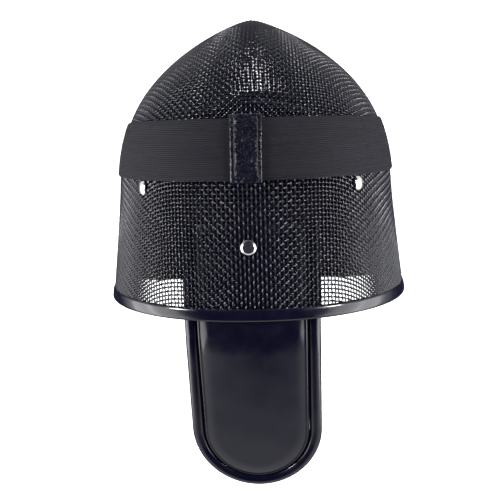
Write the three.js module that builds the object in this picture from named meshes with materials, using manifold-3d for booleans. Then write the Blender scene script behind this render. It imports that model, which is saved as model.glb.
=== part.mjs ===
// Fencing mask: a woven wire cage with its edging, padded bib, crown lining, back tongue and head strap.
// Millimetres, +Z up, the face towards -Y. The mask stands on the hem of its bib, with the origin on the
// ground under the middle of its bounding box.
//
// All but the bib is described in the mask's own frame, (x, v, h): x across, v along the crown towards
// the back of the head and h up from the crown line. The group cageFrame turns that frame to its pose.

import * as THREE from "three";
import * as BufferGeometryUtils from "three/addons/utils/BufferGeometryUtils.js";
import Module from "manifold-3d";

const { clamp, lerp, smoothstep } = THREE.MathUtils;

// ---------------------------------------------------------------- driving dimensions, millimetres
const crownLean = THREE.MathUtils.degToRad(12);   // how far the crown line falls towards the back
const crownHeight = 385;      // height of the crown line above the hem, where v is 0
const footprintShift = -61.75; // moves the middle of the bounding box onto the z axis

// wire cage
const cageWall = 2;           // two crossing wires
const shoulderDepth = 129;    // from the crown line down to where the sides stand upright
const domeStart = 33;         // v where the level crown turns into the forehead
const domeReach = 132;        // from there forward to the ridge of the face
const rearEdge = 122;         // v of the back edge of the crown
const sideHalfWidth = 110.5;
const rearFlare = 11.2;       // how much each side spreads from domeStart to the back edge
const flareSoftness = 0.2;
const crownDrop = 4;          // how much the crown line sinks at the back edge
const chinDepth = 272;        // from the crown line down to the chin
const chinRecede = 55;        // how far the ridge runs back at the chin
const jawTaper = 26;          // how much each side narrows at the chin's level
const ridgePoint = 0.36;      // sharpness of the ridge, as the sine of the arch's starting angle
const ridgeRadius = 5;        // how far across the ridge is rounded
const jawRearDepth = 165;     // from the crown line down to the rear corner of the jaw edge
const chinEdgeV = -30;        // v where the side edge turns into the front of the chin

// edging, a U of folded vinyl
const edgingWall = 1.2;
const edgingWidth = 10;
const edgingGap = 0.8;
const edgingCorner = 0.6;     // its bevelled outer corners

// head strap and its sleeve
const strapFront = -17.2;
const strapBack = 24.2;
const strapSweep = 4;         // how far its ends lie forward of where it crosses the crown
const strapWall = 1.8;
const strapGap = 0.8;
const strapEndClearance = 15; // from the jaw edge up to the end of the strap
const sleeveHalfWidth = 10.5;
const sleeveWall = 1.5;
const sleeveGap = 0.35;
const sleeveFoot = 0.2;       // its ends stop this far above the strap's underside

// rivets
const rivetHeadRadius = 5.3;
const rivetHeadHeight = 1.4;
const rivetShankRadius = 2;
const rivetWasherRadius = 4.5;
const rivetWasherHeight = 1;
const rivetClearance = 0.35;
const rivetHeadGap = 0.4;     // between the cage and the head
const rivetWasherGap = 0.6;   // between the washer and the layer it holds
const rivetHoleLength = 50;   // enough to pass through every layer
const sideRivetV = 29.3;
const sideRivetX = 77;
const centreRivetV = 70;

// tongue
const tongueHalfWidth = 51.3;
const tongueWall = 8;
const tongueRoot = 54;        // v where the tongue starts under the crown
const tongueTip = 272;        // v of its free end
const tongueRoundEnd = 52;    // length of the rounded end
const tongueBend = 112;       // v where it starts to bend down
const tongueBendLength = 40;
const tongueDroop = 0.36;     // its slope past the bend
const tongueDepth = 3.6;      // from the cage's middle surface down to the tongue's upper face
const tongueArch = 216;       // the upper face drops by x squared over this at the root
const tongueTipArch = 0.4;    // share of that arch left at the tip
const bindingWidth = 9.6;
const bindingGap = 0.4;

// crown lining
const liningWall = 4.5;
const liningDepth = 3.4;      // from the cage's middle surface to the lining's outer face
const liningTongueDepth = 14; // the same under the root of the tongue
const liningRear = 95;        // v of the lining's back edge on the crown line
const liningRearSide = 108;   // v of the back edge at the lining's lower corners
const liningFront = 5;        // v of the front edge at the lower corners
const liningSideDepth = 150;
const liningForehead = 1.33;  // the front edge's place on the outline, a third of the way down the dome
const liningSweep = 0.5;      // power that draws the front edge's middle forward to a point

// bib
const bibWall = 5;
const bibStandOff = 6.4;      // from the cage's middle surface to the bib's, where it overlaps the edging
const bibOverlap = 8;         // how far it reaches up over the edging
const bibTurn = 4;            // how far below the jaw edge it leaves the edging and heads for the hem
const bibBulge = 6;
const hemHalfWidth = 112;
const hemFront = -183.9;
const hemMiddle = -67.9;        // y where the straight sides of the hem meet its round front
const hemRear = 12.1;

// ---------------------------------------------------------------- the cage's surface
/** A soft ramp that is 0 in front of domeStart and 1 at the back edge. */
function backShare(v) {
  const share = (v - domeStart) / (rearEdge - domeStart);
  return (share + Math.hypot(share, flareSoftness)) / 2;
}

/** What the place v, h of the middle plane says about the arch of the cage above it. */
function archAt(v, h) {
  const back = backShare(v);
  const below = Math.max(0, -h - shoulderDepth) / (chinDepth - shoulderDepth);
  const rise = Math.max(0, h + shoulderDepth) / (shoulderDepth - crownDrop * back ** 2);
  const reach = Math.max(0, domeStart - v) / (domeReach - chinRecede * below ** 2);
  return {
    side: sideHalfWidth + rearFlare * back - jawTaper * below ** 2,
    point: ridgePoint * smoothstep(reach, 0.1, 1),
    filled: rise ** 2 + reach ** 2,
  };
}

/** A distance across the ridge: it starts off round, so that the ridge isn't a crease. */
function softened(x) {
  return Math.hypot(x, ridgeRadius) - ridgeRadius;
}

/** Half the cage's width at v, h: 0 on the outline and widest well inside it. */
function halfWidth(v, h) {
  const { side, point, filled } = archAt(v, h);
  const share = (Math.sqrt(1 - Math.min(1, filled) * (1 - point ** 2)) - point) / (1 - point);
  return Math.sqrt((share * softened(side) + ridgeRadius) ** 2 - ridgeRadius ** 2);
}

/** 0 on the cage's middle surface, less than 0 inside it and more outside. */
function level(x, v, h) {
  const { side, point, filled } = archAt(v, h);
  const share = softened(x) / softened(side);
  return (point + share * (1 - point)) ** 2 + filled * (1 - point ** 2) - 1;
}

/** Outward unit normal of the cage at a point of it. */
function normalAt({ x, y: v, z: h }) {
  const step = 0.5;
  return new THREE.Vector3(
    level(x + step, v, h) - level(x - step, v, h),
    level(x, v + step, h) - level(x, v - step, h),
    level(x, v, h + step) - level(x, v, h - step),
  ).normalize();
}

/** A point of the cage moved out along its normal. */
function offset(point, distance) {
  return point.clone().addScaledVector(normalAt(point), distance);
}

/** Height h of the outline above v. */
function crownLine(v) {
  const reach = Math.max(0, domeStart - v) / domeReach;
  return (shoulderDepth - crownDrop * backShare(v) ** 2) * Math.sqrt(1 - reach ** 2) - shoulderDepth;
}

/** The outline in the middle plane: share 0 to 1 is the crown, 1 to 2 the dome, 2 to 3 the face. */
function outline(share) {
  if (share <= 1) {
    const v = lerp(rearEdge, domeStart, share);
    return [v, crownLine(v)];
  }
  if (share <= 2) {
    const angle = (share - 1) * Math.PI / 2;
    return [domeStart - domeReach * Math.sin(angle), shoulderDepth * (Math.cos(angle) - 1)];
  }
  const below = share - 2;
  return [domeStart - domeReach + chinRecede * below ** 2, lerp(-shoulderDepth, -chinDepth, below)];
}

/** Height h of the jaw edge, a straight line from its rear corner to the chin. */
function jawEdge(v) {
  const chinV = domeStart - domeReach + chinRecede;
  return lerp(-jawRearDepth, -chinDepth, (rearEdge - v) / (rearEdge - chinV));
}

/** The point of the crown or dome at x, v. */
function crownPoint(x, v) {
  let low = -shoulderDepth;
  let high = crownLine(v);
  for (let i = 0; i < 40; i++) {
    const middle = (low + high) / 2;
    if (level(x, v, middle) < 0) low = middle;
    else high = middle;
  }
  return new THREE.Vector3(x, v, low);
}

/** Evenly spaced points across the cage, over the outline at top and down to base on both sides. */
function bow(top, base, halfSteps, sweep = 1) {
  const samples = 90;
  const half = [];
  for (let i = 0; i <= samples; i++) {
    const share = 1 - Math.cos(i / samples * Math.PI / 2);
    const v = lerp(top[0], base[0], share ** sweep);
    const h = lerp(top[1], base[1], share);
    half.push(new THREE.Vector3(i ? halfWidth(v, h) : 0, v, h));
  }
  const even = new THREE.CatmullRomCurve3(half).getSpacedPoints(halfSteps);
  const mirrored = even.slice(1).reverse().map((p) => new THREE.Vector3(-p.x, p.y, p.z));
  return [...mirrored, ...even];
}

// ---------------------------------------------------------------- closed solids from rows of points
/** An indexed geometry with its faces turned out. */
function closedGeometry(points, index) {
  let volume = 0;
  for (let i = 0; i < index.length; i += 3) {
    volume += points[index[i]].dot(points[index[i + 1]].clone().cross(points[index[i + 2]]));
  }
  if (volume < 0) index.reverse();
  const geometry = new THREE.BufferGeometry().setFromPoints(points);
  geometry.setIndex(index);
  geometry.computeVertexNormals();
  return geometry;
}

/** A closed solid between two grids of one size. */
function slab(outer, inner) {
  const rows = outer.length;
  const columns = outer[0].length;
  const under = rows * columns;
  const index = [];
  const quad = (a, b, c, d) => index.push(a, b, c, a, c, d);
  for (let k = 0; k < rows - 1; k++) {
    for (let j = 0; j < columns - 1; j++) {
      const a = k * columns + j;
      const b = a + columns;
      quad(a, b, b + 1, a + 1);
      quad(under + a, under + a + 1, under + b + 1, under + b);
    }
  }
  const rim = [];
  for (let j = 0; j < columns - 1; j++) rim.push(j);
  for (let k = 0; k < rows - 1; k++) rim.push(k * columns + columns - 1);
  for (let j = columns - 1; j > 0; j--) rim.push((rows - 1) * columns + j);
  for (let k = rows - 1; k > 0; k--) rim.push(k * columns);
  rim.forEach((a, i) => {
    const b = rim[(i + 1) % rim.length];
    quad(a, b, under + b, under + a);
  });
  return closedGeometry([...outer.flat(), ...inner.flat()], index);
}

/** A closed solid that carries one section, a list of [along t, along n], through its stations. */
function sweep(stations, section) {
  const size = section.length;
  const points = stations.flatMap(({ at, t, n }) => section.map(([a, b]) =>
    at.clone().addScaledVector(t, a).addScaledVector(n, b)));
  const index = [];
  for (let i = 0; i < stations.length - 1; i++) {
    for (let j = 0; j < size; j++) {
      const a = i * size + j;
      const b = i * size + (j + 1) % size;
      index.push(a, b, b + size, a, b + size, a + size);
    }
  }
  const flat = section.map(([a, b]) => new THREE.Vector2(a, b));
  const turned = THREE.ShapeUtils.isClockWise(flat);
  const last = (stations.length - 1) * size;
  for (const [a, b, c] of THREE.ShapeUtils.triangulateShape(flat, [])) {
    index.push(...(turned ? [a, b, c] : [a, c, b]));
    index.push(...(turned ? [last + a, last + c, last + b] : [last + a, last + b, last + c]));
  }
  return closedGeometry(points, index);
}

/** Unit normals of a grid of points, by the differences of neighbours. */
function gridNormals(grid) {
  const lastRow = grid.length - 1;
  const lastColumn = grid[0].length - 1;
  return grid.map((row, k) => row.map((_, j) => {
    const along = grid[Math.min(k + 1, lastRow)][j].clone().sub(grid[Math.max(k - 1, 0)][j]);
    const across = row[Math.min(j + 1, lastColumn)].clone().sub(row[Math.max(j - 1, 0)]);
    return along.cross(across).normalize();
  }));
}

// ---------------------------------------------------------------- holes
const wasm = await Module();
wasm.setup();

function toManifold(geometry) {
  const bare = geometry.clone();
  bare.deleteAttribute("normal");
  bare.deleteAttribute("uv");
  const merged = BufferGeometryUtils.mergeVertices(bare, 1e-5);
  return new wasm.Manifold(new wasm.Mesh({
    numProp: 3,
    vertProperties: new Float32Array(merged.attributes.position.array),
    triVerts: new Uint32Array(merged.index.array),
  }));
}

/** The geometry with the holes cut out of it. */
function pierce(geometry, holes) {
  const solid = holes.reduce((body, hole) => body.subtract(toManifold(hole)), toManifold(geometry));
  const mesh = solid.getMesh();
  const result = new THREE.BufferGeometry();
  result.setAttribute("position", new THREE.BufferAttribute(mesh.vertProperties, 3));
  result.setIndex(new THREE.BufferAttribute(mesh.triVerts, 1));
  result.computeVertexNormals();
  return result;
}

// ---------------------------------------------------------------- the groups and the materials
const mask = new THREE.Group();
const cageFrame = new THREE.Group();
cageFrame.rotation.x = -crownLean;
cageFrame.position.set(0, footprintShift, crownHeight);
cageFrame.updateMatrix();
mask.add(cageFrame);

function finish(color, roughness, metalness) {
  return new THREE.MeshStandardMaterial({ color, roughness, metalness });
}

const enamelledWire = finish(0x17181c, 0.35, 0.3);
const blackVinyl = finish(0x121317, 0.25, 0);
const elasticWeb = finish(0x36363a, 0.85, 0);
const blackLeather = finish(0x1c1c1f, 0.6, 0);
const liningCloth = finish(0x141416, 0.95, 0);
const bibCloth = finish(0x1a1a1d, 0.9, 0);
const nickel = finish(0xd8d8d6, 0.15, 1);

function add(name, geometry, material, group = cageFrame) {
  const mesh = new THREE.Mesh(geometry, material);
  mesh.name = name;
  group.add(mesh);
}

// ---------------------------------------------------------------- rivets
// grip is how far inside the cage's middle surface the washer sits: under the tongue or the lining.
const sideGrip = liningDepth + liningWall + rivetWasherGap;
const rivetSpots = {
  centre_rivet: { at: crownPoint(0, centreRivetV), grip: tongueDepth + tongueWall + rivetWasherGap },
  left_rivet: { at: crownPoint(sideRivetX, sideRivetV), grip: sideGrip },
  right_rivet: { at: crownPoint(-sideRivetX, sideRivetV), grip: sideGrip },
};

/** A rivet with a low domed head outside and a flat washer inside, along its own +Y. */
function rivetGeometry(grip) {
  const seat = cageWall / 2 + rivetHeadGap;
  const profile = [
    [0, -grip - rivetWasherHeight],
    [rivetWasherRadius, -grip - rivetWasherHeight],
    [rivetWasherRadius, -grip],
    [rivetShankRadius, -grip],
    [rivetShankRadius, seat],
    [rivetHeadRadius, seat],
    [rivetHeadRadius * 0.9, seat + rivetHeadHeight * 0.6],
    [rivetHeadRadius * 0.55, seat + rivetHeadHeight * 0.95],
    [0, seat + rivetHeadHeight],
  ].map(([radius, height]) => new THREE.Vector2(radius, height));
  return new THREE.LatheGeometry(profile, 20);
}

/** A shape made along +Y, set square to the cage at a point of it. */
function squareTo(at, geometry) {
  const turn = new THREE.Quaternion().setFromUnitVectors(new THREE.Vector3(0, 1, 0), normalAt(at));
  return geometry.applyQuaternion(turn).translate(at.x, at.y, at.z);
}

function rivetHole({ at }) {
  const radius = rivetShankRadius + rivetClearance;
  return squareTo(at, new THREE.CylinderGeometry(radius, radius, rivetHoleLength, 16));
}

const { centre_rivet: centreSpot, left_rivet: leftSpot, right_rivet: rightSpot } = rivetSpots;
for (const [name, spot] of Object.entries(rivetSpots)) {
  add(name, squareTo(spot.at, rivetGeometry(spot.grip)), nickel);
}

// ---------------------------------------------------------------- wire cage
/** The rows of the cage's middle surface, from the back edge of the crown to the chin. */
function cageRows() {
  const crownSteps = 7;
  const faceSteps = 22;
  const halfSteps = 17;
  const rows = [];
  for (let k = 0; k <= crownSteps; k++) {
    const top = outline(k / crownSteps);
    rows.push(bow(top, [top[0], jawEdge(top[0])], halfSteps));
  }
  for (let k = 1; k <= faceSteps; k++) {
    const share = k / faceSteps;
    const v = lerp(domeStart, chinEdgeV, Math.sin(share * Math.PI / 2));
    rows.push(bow(outline(1 + 2 * share), [v, jawEdge(v)], halfSteps));
  }
  return rows;
}

/** A solid wall between two distances from the cage's middle surface. */
function wall(rows, outerAt, innerAt) {
  return slab(
    rows.map((row) => row.map((p) => offset(p, outerAt(p)))),
    rows.map((row) => row.map((p) => offset(p, innerAt(p)))),
  );
}

const cage = cageRows();
const cageWalls = wall(cage, () => cageWall / 2, () => -cageWall / 2);
add("wire_cage", pierce(cageWalls, Object.values(rivetSpots).map(rivetHole)), enamelledWire);

// ---------------------------------------------------------------- edging
/** Stations along an edge of the cage: n stands off the cage, and t runs into it towards the middle. */
function edgeStations(path, middle) {
  return path.map((at, i) => {
    const ahead = path[Math.min(i + 1, path.length - 1)];
    const behind = path[Math.max(i - 1, 0)];
    const along = ahead.clone().sub(behind).normalize();
    const n = normalAt(at);
    n.addScaledVector(along, -n.dot(along)).normalize();
    const t = along.cross(n);
    if (t.dot(middle.clone().sub(at)) < 0) t.negate();
    return { at, t, n };
  });
}

/** The U section of the edging, as [depth into the cage, distance from its middle surface]. */
function edgingSection() {
  const inside = cageWall / 2 + edgingGap;
  const outside = inside + edgingWall;
  const under = -edgingGap - edgingWall;
  const leg = edgingWidth + under;
  return [
    [leg, inside], [leg, outside],
    [under + edgingCorner, outside], [under, outside - edgingCorner],
    [under, edgingCorner - outside], [under + edgingCorner, -outside],
    [leg, -outside], [leg, -inside],
    [-edgingGap, -inside], [-edgingGap, inside],
  ];
}

const lastColumn = cage[0].length - 1;
const jawPath = [
  ...cage.map((row) => row[0]),
  ...cage.at(-1).slice(1, -1),
  ...cage.map((row) => row[lastColumn]).reverse(),
];
const crownFront = new THREE.Vector3(0, domeStart, 0);
const jawStations = edgeStations(jawPath, crownFront);
add("rear_edging", sweep(edgeStations(cage[0], crownFront), edgingSection()), blackVinyl);
add("jaw_edging", sweep(jawStations.slice(1, -1), edgingSection()), blackVinyl);

// ---------------------------------------------------------------- head strap
/** The strap's band over the crown and down both sides to the jaw edging. */
function strapRows() {
  const rows = [];
  for (const share of [0, 0.25, 0.5, 0.75, 1]) {
    const v = lerp(strapFront, strapBack, share);
    const foot = v - strapSweep;
    rows.push(bow([v, crownLine(v)], [foot, jawEdge(foot) + strapEndClearance], 20));
  }
  return rows;
}

const strapInside = cageWall / 2 + strapGap;
const strapOutside = strapInside + strapWall;
add("head_strap", wall(strapRows(), () => strapOutside, () => strapInside), elasticWeb);

// ---------------------------------------------------------------- strap sleeve
/** The sleeve's rows from the strap's front edge to its back edge, as [v, distance from the cage]. */
function sleeveRows(margin, top) {
  const foot = strapInside + sleeveFoot;
  const front = strapFront - margin;
  const back = strapBack + margin;
  return [[front, foot], [front, top - 0.5], [front + 1, top], [lerp(front, back, 0.33), top],
    [lerp(front, back, 0.67), top], [back - 1, top], [back, top - 0.5], [back, foot]];
}

function sleeveGrid(rows) {
  return rows.map(([v, distance]) => [-1, -0.5, 0, 0.5, 1].map((share) =>
    offset(crownPoint(share * sleeveHalfWidth, v), distance)));
}

const sleeveInside = sleeveRows(sleeveGap, strapOutside + sleeveGap);
const sleeveOutside = sleeveRows(sleeveGap + sleeveWall, strapOutside + sleeveGap + sleeveWall);
add("strap_sleeve", slab(sleeveGrid(sleeveOutside), sleeveGrid(sleeveInside)), blackLeather);

// ---------------------------------------------------------------- tongue
/** A point of the tongue's upper face: arched under the crown, then bent down and flatter. */
function tongueTop(x, v) {
  const bent = clamp((v - tongueBend) / tongueBendLength, 0, 1);
  const straight = Math.max(0, v - tongueBend - tongueBendLength);
  const droop = tongueDroop * (bent ** 2 * tongueBendLength / 2 + straight);
  const arch = lerp(1, tongueTipArch, smoothstep(v, tongueBend, tongueTip));
  const crown = crownLine(Math.min(v, rearEdge));
  return new THREE.Vector3(x, v, crown - tongueDepth - droop - arch * x ** 2 / tongueArch);
}

/** The tongue's upward normal at x, v. */
function tongueNormal(x, v) {
  const along = tongueTop(x, v + 1).sub(tongueTop(x, v - 1));
  const across = tongueTop(x + 1, v).sub(tongueTop(x - 1, v));
  return across.cross(along).normalize();
}

/** Half the tongue's width at v, inset from its outline. */
function tongueSpan(v, inset) {
  const start = tongueTip - tongueRoundEnd;
  const past = Math.max(0, v - start) / (tongueRoundEnd - inset);
  return (tongueHalfWidth - inset) * Math.sqrt(Math.max(0, 1 - past ** 2));
}

/** The padded middle of the tongue, inside its binding. */
function tonguePad() {
  const inset = bindingWidth + bindingGap;
  const start = tongueTip - tongueRoundEnd;
  const rows = [];
  for (const share of [0, 0.15, 0.3, 0.45, 0.6, 0.8, 1]) rows.push(lerp(tongueRoot, start, share));
  for (const angle of [15, 30, 45, 58, 70, 80]) {
    rows.push(start + (tongueRoundEnd - inset) * Math.sin(THREE.MathUtils.degToRad(angle)));
  }
  const columns = [-1, -0.8, -0.6, -0.4, -0.2, 0, 0.2, 0.4, 0.6, 0.8, 1];
  const face = (depth) => rows.map((v) => columns.map((share) => {
    const x = share * tongueSpan(v, inset);
    return tongueTop(x, v).addScaledVector(tongueNormal(x, v), -depth);
  }));
  return slab(face(0), face(tongueWall));
}

/** The rolled border round the tongue's sides and end. */
function tongueBinding() {
  const inset = bindingWidth / 2;
  const start = tongueTip - tongueRoundEnd;
  const path = [];
  for (const share of [0, 0.15, 0.3, 0.45, 0.6, 0.8]) {
    path.push([tongueHalfWidth - inset, lerp(tongueRoot, start, share)]);
  }
  for (let angle = 0; angle < 90; angle += 10) {
    const turn = THREE.MathUtils.degToRad(angle);
    path.push([(tongueHalfWidth - inset) * Math.cos(turn), start + (tongueRoundEnd - inset) * Math.sin(turn)]);
  }
  path.push([0, tongueTip - inset]);
  const whole = [...path, ...path.slice(0, -1).reverse().map(([x, v]) => [-x, v])];
  const points = whole.map(([x, v]) => tongueTop(x, v).addScaledVector(tongueNormal(x, v), -tongueWall / 2));
  const stations = whole.map(([x, v], i) => {
    const ahead = points[Math.min(i + 1, points.length - 1)];
    const along = ahead.clone().sub(points[Math.max(i - 1, 0)]).normalize();
    const n = tongueNormal(x, v);
    return { at: points[i], t: along.cross(n).normalize(), n };
  });
  const section = [];
  for (let angle = 22.5; angle < 360; angle += 45) {
    const turn = THREE.MathUtils.degToRad(angle);
    section.push([bindingWidth / 2 * Math.cos(turn), tongueWall / 2 * Math.sin(turn)]);
  }
  return sweep(stations, section);
}

add("tongue_pad", pierce(tonguePad(), [rivetHole(centreSpot)]), blackVinyl);
add("tongue_binding", tongueBinding(), blackVinyl);

// ---------------------------------------------------------------- crown lining
/** How deep the lining's outer face lies: it passes under the root of the tongue. */
function liningDepthAt({ x, y: v }) {
  const across = 1 - smoothstep(Math.abs(x), tongueHalfWidth + 4, tongueHalfWidth + 24);
  const along = smoothstep(v, tongueRoot - 24, tongueRoot - 4);
  return lerp(liningDepth, liningTongueDepth, across * along);
}

function liningRows() {
  const steps = 12;
  const frontTop = outline(liningForehead);
  const rows = [];
  for (let k = 0; k <= steps; k++) {
    const share = k / steps;
    const v = lerp(liningRear, frontTop[0], share);
    const base = [lerp(liningRearSide, liningFront, share), -liningSideDepth];
    rows.push(bow([v, crownLine(v)], base, 16, lerp(1, liningSweep, share)));
  }
  return rows;
}

const lining = wall(liningRows(), (p) => -liningDepthAt(p), (p) => -liningDepthAt(p) - liningWall);
add("crown_lining", pierce(lining, [leftSpot, rightSpot].map(rivetHole)), liningCloth);

// ---------------------------------------------------------------- bib
/** The hem on the ground, from its left rear end round the front to the right rear end. */
function hemPath() {
  const path = new THREE.Path();
  path.moveTo(-hemHalfWidth, hemRear);
  path.lineTo(-hemHalfWidth, hemMiddle);
  path.absellipse(0, hemMiddle, hemHalfWidth, hemMiddle - hemFront, Math.PI, 2 * Math.PI, false);
  path.lineTo(hemHalfWidth, hemRear);
  return path;
}

/** Rows of the bib's middle surface, down from the outside of the jaw edging to the hem. */
function bibGrid() {
  cageFrame.updateMatrixWorld(true);
  const edge = jawStations.slice(1, -1);
  const band = (depth) => edge.map(({ at, t, n }) => at.clone().addScaledVector(t, depth)
    .addScaledVector(n, bibStandOff).applyMatrix4(cageFrame.matrixWorld));
  const upper = band(bibOverlap);
  const lower = band(-bibTurn);
  const travelled = [0];
  for (let i = 1; i < lower.length; i++) travelled.push(travelled[i - 1] + lower[i].distanceTo(lower[i - 1]));
  const hem = hemPath();
  const rows = [upper, lower];
  for (const share of [0.25, 0.5, 0.75, 1]) {
    rows.push(lower.map((from, i) => {
      const { x, y } = hem.getPointAt(travelled[i] / travelled.at(-1));
      const outward = new THREE.Vector3(x, y - hemMiddle, 0).normalize();
      const point = from.clone().lerp(new THREE.Vector3(x, y, 0), share);
      return point.addScaledVector(outward, bibBulge * Math.sin(share * Math.PI));
    }));
  }
  return rows;
}

/** The bib's padded wall, with the hem's underside flat on the ground. */
function bibGeometry() {
  const middle = bibGrid();
  const normals = gridNormals(middle);
  const face = (distance) => middle.map((row, k) => row.map((p, i) => {
    const moved = p.clone().addScaledVector(normals[k][i], distance);
    if (k === middle.length - 1) moved.z = 0;
    return moved;
  }));
  return slab(face(bibWall / 2), face(-bibWall / 2));
}

add("bib", bibGeometry(), bibCloth, mask);

export default mask;
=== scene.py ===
import math

import bpy
import numpy as np
from mathutils import Matrix, Vector


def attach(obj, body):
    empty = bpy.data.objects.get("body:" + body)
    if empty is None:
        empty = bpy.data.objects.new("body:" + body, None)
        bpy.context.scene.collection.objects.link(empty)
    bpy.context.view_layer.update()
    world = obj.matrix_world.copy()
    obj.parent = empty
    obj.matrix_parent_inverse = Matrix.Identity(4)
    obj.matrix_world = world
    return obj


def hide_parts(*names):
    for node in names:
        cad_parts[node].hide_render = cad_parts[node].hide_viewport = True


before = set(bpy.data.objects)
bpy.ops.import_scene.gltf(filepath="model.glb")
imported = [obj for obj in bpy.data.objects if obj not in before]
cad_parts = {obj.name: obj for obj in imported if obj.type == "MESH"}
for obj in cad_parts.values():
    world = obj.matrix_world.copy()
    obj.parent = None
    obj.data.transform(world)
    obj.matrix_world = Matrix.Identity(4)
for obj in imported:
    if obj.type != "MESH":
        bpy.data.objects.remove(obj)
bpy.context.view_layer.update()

# ---------------------------------------------------------------- studio
# The mask stands on its bib on a plain white floor, between a pale band round the horizon and a dark
# ceiling. On each side a small bright box gives the glints, a broad weak one softens them and a low one
# lights the edging. The floor is left out of mirror reflections, which keeps the wires dark. The camera
# looks down on the crown.
CAMERA_AT = (-0.0305, 0.0422, 0.8741)
CAMERA_AIM = (0.0583, -0.0669, -0.9961)
CAMERA_UP = (-0.0187, -0.9977, 0.0659)
LENS = 53.1
FLOOR_SIZE = 60.0
FLOOR_DROP = 0.0004
FLOOR_GLOW = 0.85
BAND_MIDDLE = 0.10              # how far the middle of the pale band lies below the horizon
BAND_PALE = 0.26                # how far from its middle the band starts to fade
BAND_END = 0.56
BOXES_AIM = (0.0, 0.0, 0.3)
SIDE_BOXES = (
    # kind, place on the left, width, height, power
    ("box", (1.05, -0.10, 0.95), 0.30, 0.24, 22),
    ("fill", (0.95, 0.35, 0.55), 0.90, 0.50, 4.5),
    ("low_box", (0.80, 0.20, 0.22), 0.80, 0.34, 3),
)


def set_camera():
    """The camera's three axes are its aim turned back, its up made square to that, and their cross."""
    camera = bpy.data.objects.new("camera", bpy.data.cameras.new("camera"))
    bpy.context.scene.collection.objects.link(camera)
    back = -Vector(CAMERA_AIM).normalized()
    right = Vector(CAMERA_UP).cross(back).normalized()
    up = back.cross(right)
    camera.matrix_world = Matrix.Translation(CAMERA_AT) @ Matrix((right, up, back)).transposed().to_4x4()
    camera.data.lens = LENS
    camera.data.clip_start = 0.01
    bpy.context.scene.camera = camera


def soft_box(name, at, width, height, power):
    """A rectangular light that faces the mask and doesn't show itself."""
    light = bpy.data.objects.new(name, bpy.data.lights.new(name, "AREA"))
    bpy.context.scene.collection.objects.link(light)
    light.data.shape = "RECTANGLE"
    light.data.size = width
    light.data.size_y = height
    light.data.energy = power
    light.visible_camera = False
    light.location = at
    light.rotation_euler = (Vector(BOXES_AIM) - Vector(at)).to_track_quat("-Z", "Y").to_euler()


def finish(name, color, roughness, metallic=0.0, coat=0.0, coat_roughness=0.1, sheen=0.0, specular=0.5):
    """A material whose plain numbers all sit on the shader's own sockets."""
    material = bpy.data.materials.new(name)
    material.use_nodes = True
    shader = material.node_tree.nodes["Principled BSDF"]
    shader.inputs["Base Color"].default_value = (*color, 1)
    shader.inputs["Roughness"].default_value = roughness
    shader.inputs["Metallic"].default_value = metallic
    shader.inputs["Coat Weight"].default_value = coat
    shader.inputs["Coat Roughness"].default_value = coat_roughness
    shader.inputs["Sheen Weight"].default_value = sheen
    shader.inputs["Sheen Roughness"].default_value = 0.5
    shader.inputs["Specular IOR Level"].default_value = specular
    return material


set_camera()
for kind, (x, y, z), width, height, power in SIDE_BOXES:
    for side, hand in (("left", 1), ("right", -1)):
        soft_box(f"{side}_{kind}", (hand * x, y, z), width, height, power)
soft_box("front_box", (0.0, -1.25, 0.7), 1.2, 0.4, 3.5)

world = bpy.data.worlds.new("studio")
world.use_nodes = True
sky, sky_links = world.node_tree.nodes, world.node_tree.links
sky_place = sky.new("ShaderNodeTexCoord")
sky_axes = sky.new("ShaderNodeSeparateXYZ")
sky_above = sky.new("ShaderNodeMath")
sky_above.inputs[1].default_value = BAND_MIDDLE
sky_off = sky.new("ShaderNodeMath")
sky_off.operation = "ABSOLUTE"
sky_ramp = sky.new("ShaderNodeValToRGB")
sky_ramp.color_ramp.interpolation = "EASE"
sky_ramp.color_ramp.elements[0].position = BAND_PALE
sky_ramp.color_ramp.elements[0].color = (0.95, 0.95, 0.95, 1)
sky_ramp.color_ramp.elements[1].position = BAND_END
sky_ramp.color_ramp.elements[1].color = (0.03, 0.032, 0.045, 1)
sky_links.new(sky_place.outputs["Generated"], sky_axes.inputs["Vector"])
sky_links.new(sky_axes.outputs["Z"], sky_above.inputs[0])
sky_links.new(sky_above.outputs["Value"], sky_off.inputs[0])
sky_links.new(sky_off.outputs["Value"], sky_ramp.inputs["Fac"])
sky_links.new(sky_ramp.outputs["Color"], sky["Background"].inputs["Color"])
bpy.context.scene.world = world
bpy.context.scene.view_settings.view_transform = "Standard"

floor_finish = finish("white_table", (0.93, 0.93, 0.93), 0.7)
floor_shader = floor_finish.node_tree.nodes["Principled BSDF"]
floor_shader.inputs["Emission Color"].default_value = (1, 1, 1, 1)
floor_shader.inputs["Emission Strength"].default_value = FLOOR_GLOW
half = FLOOR_SIZE / 2
table = bpy.data.meshes.new("table")
floor_corners = [(-half, -half), (half, -half), (half, half), (-half, half)]
table.from_pydata([(x, y, -FLOOR_DROP) for x, y in floor_corners], [], [(0, 1, 2, 3)])
table.materials.append(floor_finish)
table_top = bpy.data.objects.new("table", table)
bpy.context.scene.collection.objects.link(table_top)
table_top.visible_glossy = False

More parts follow.
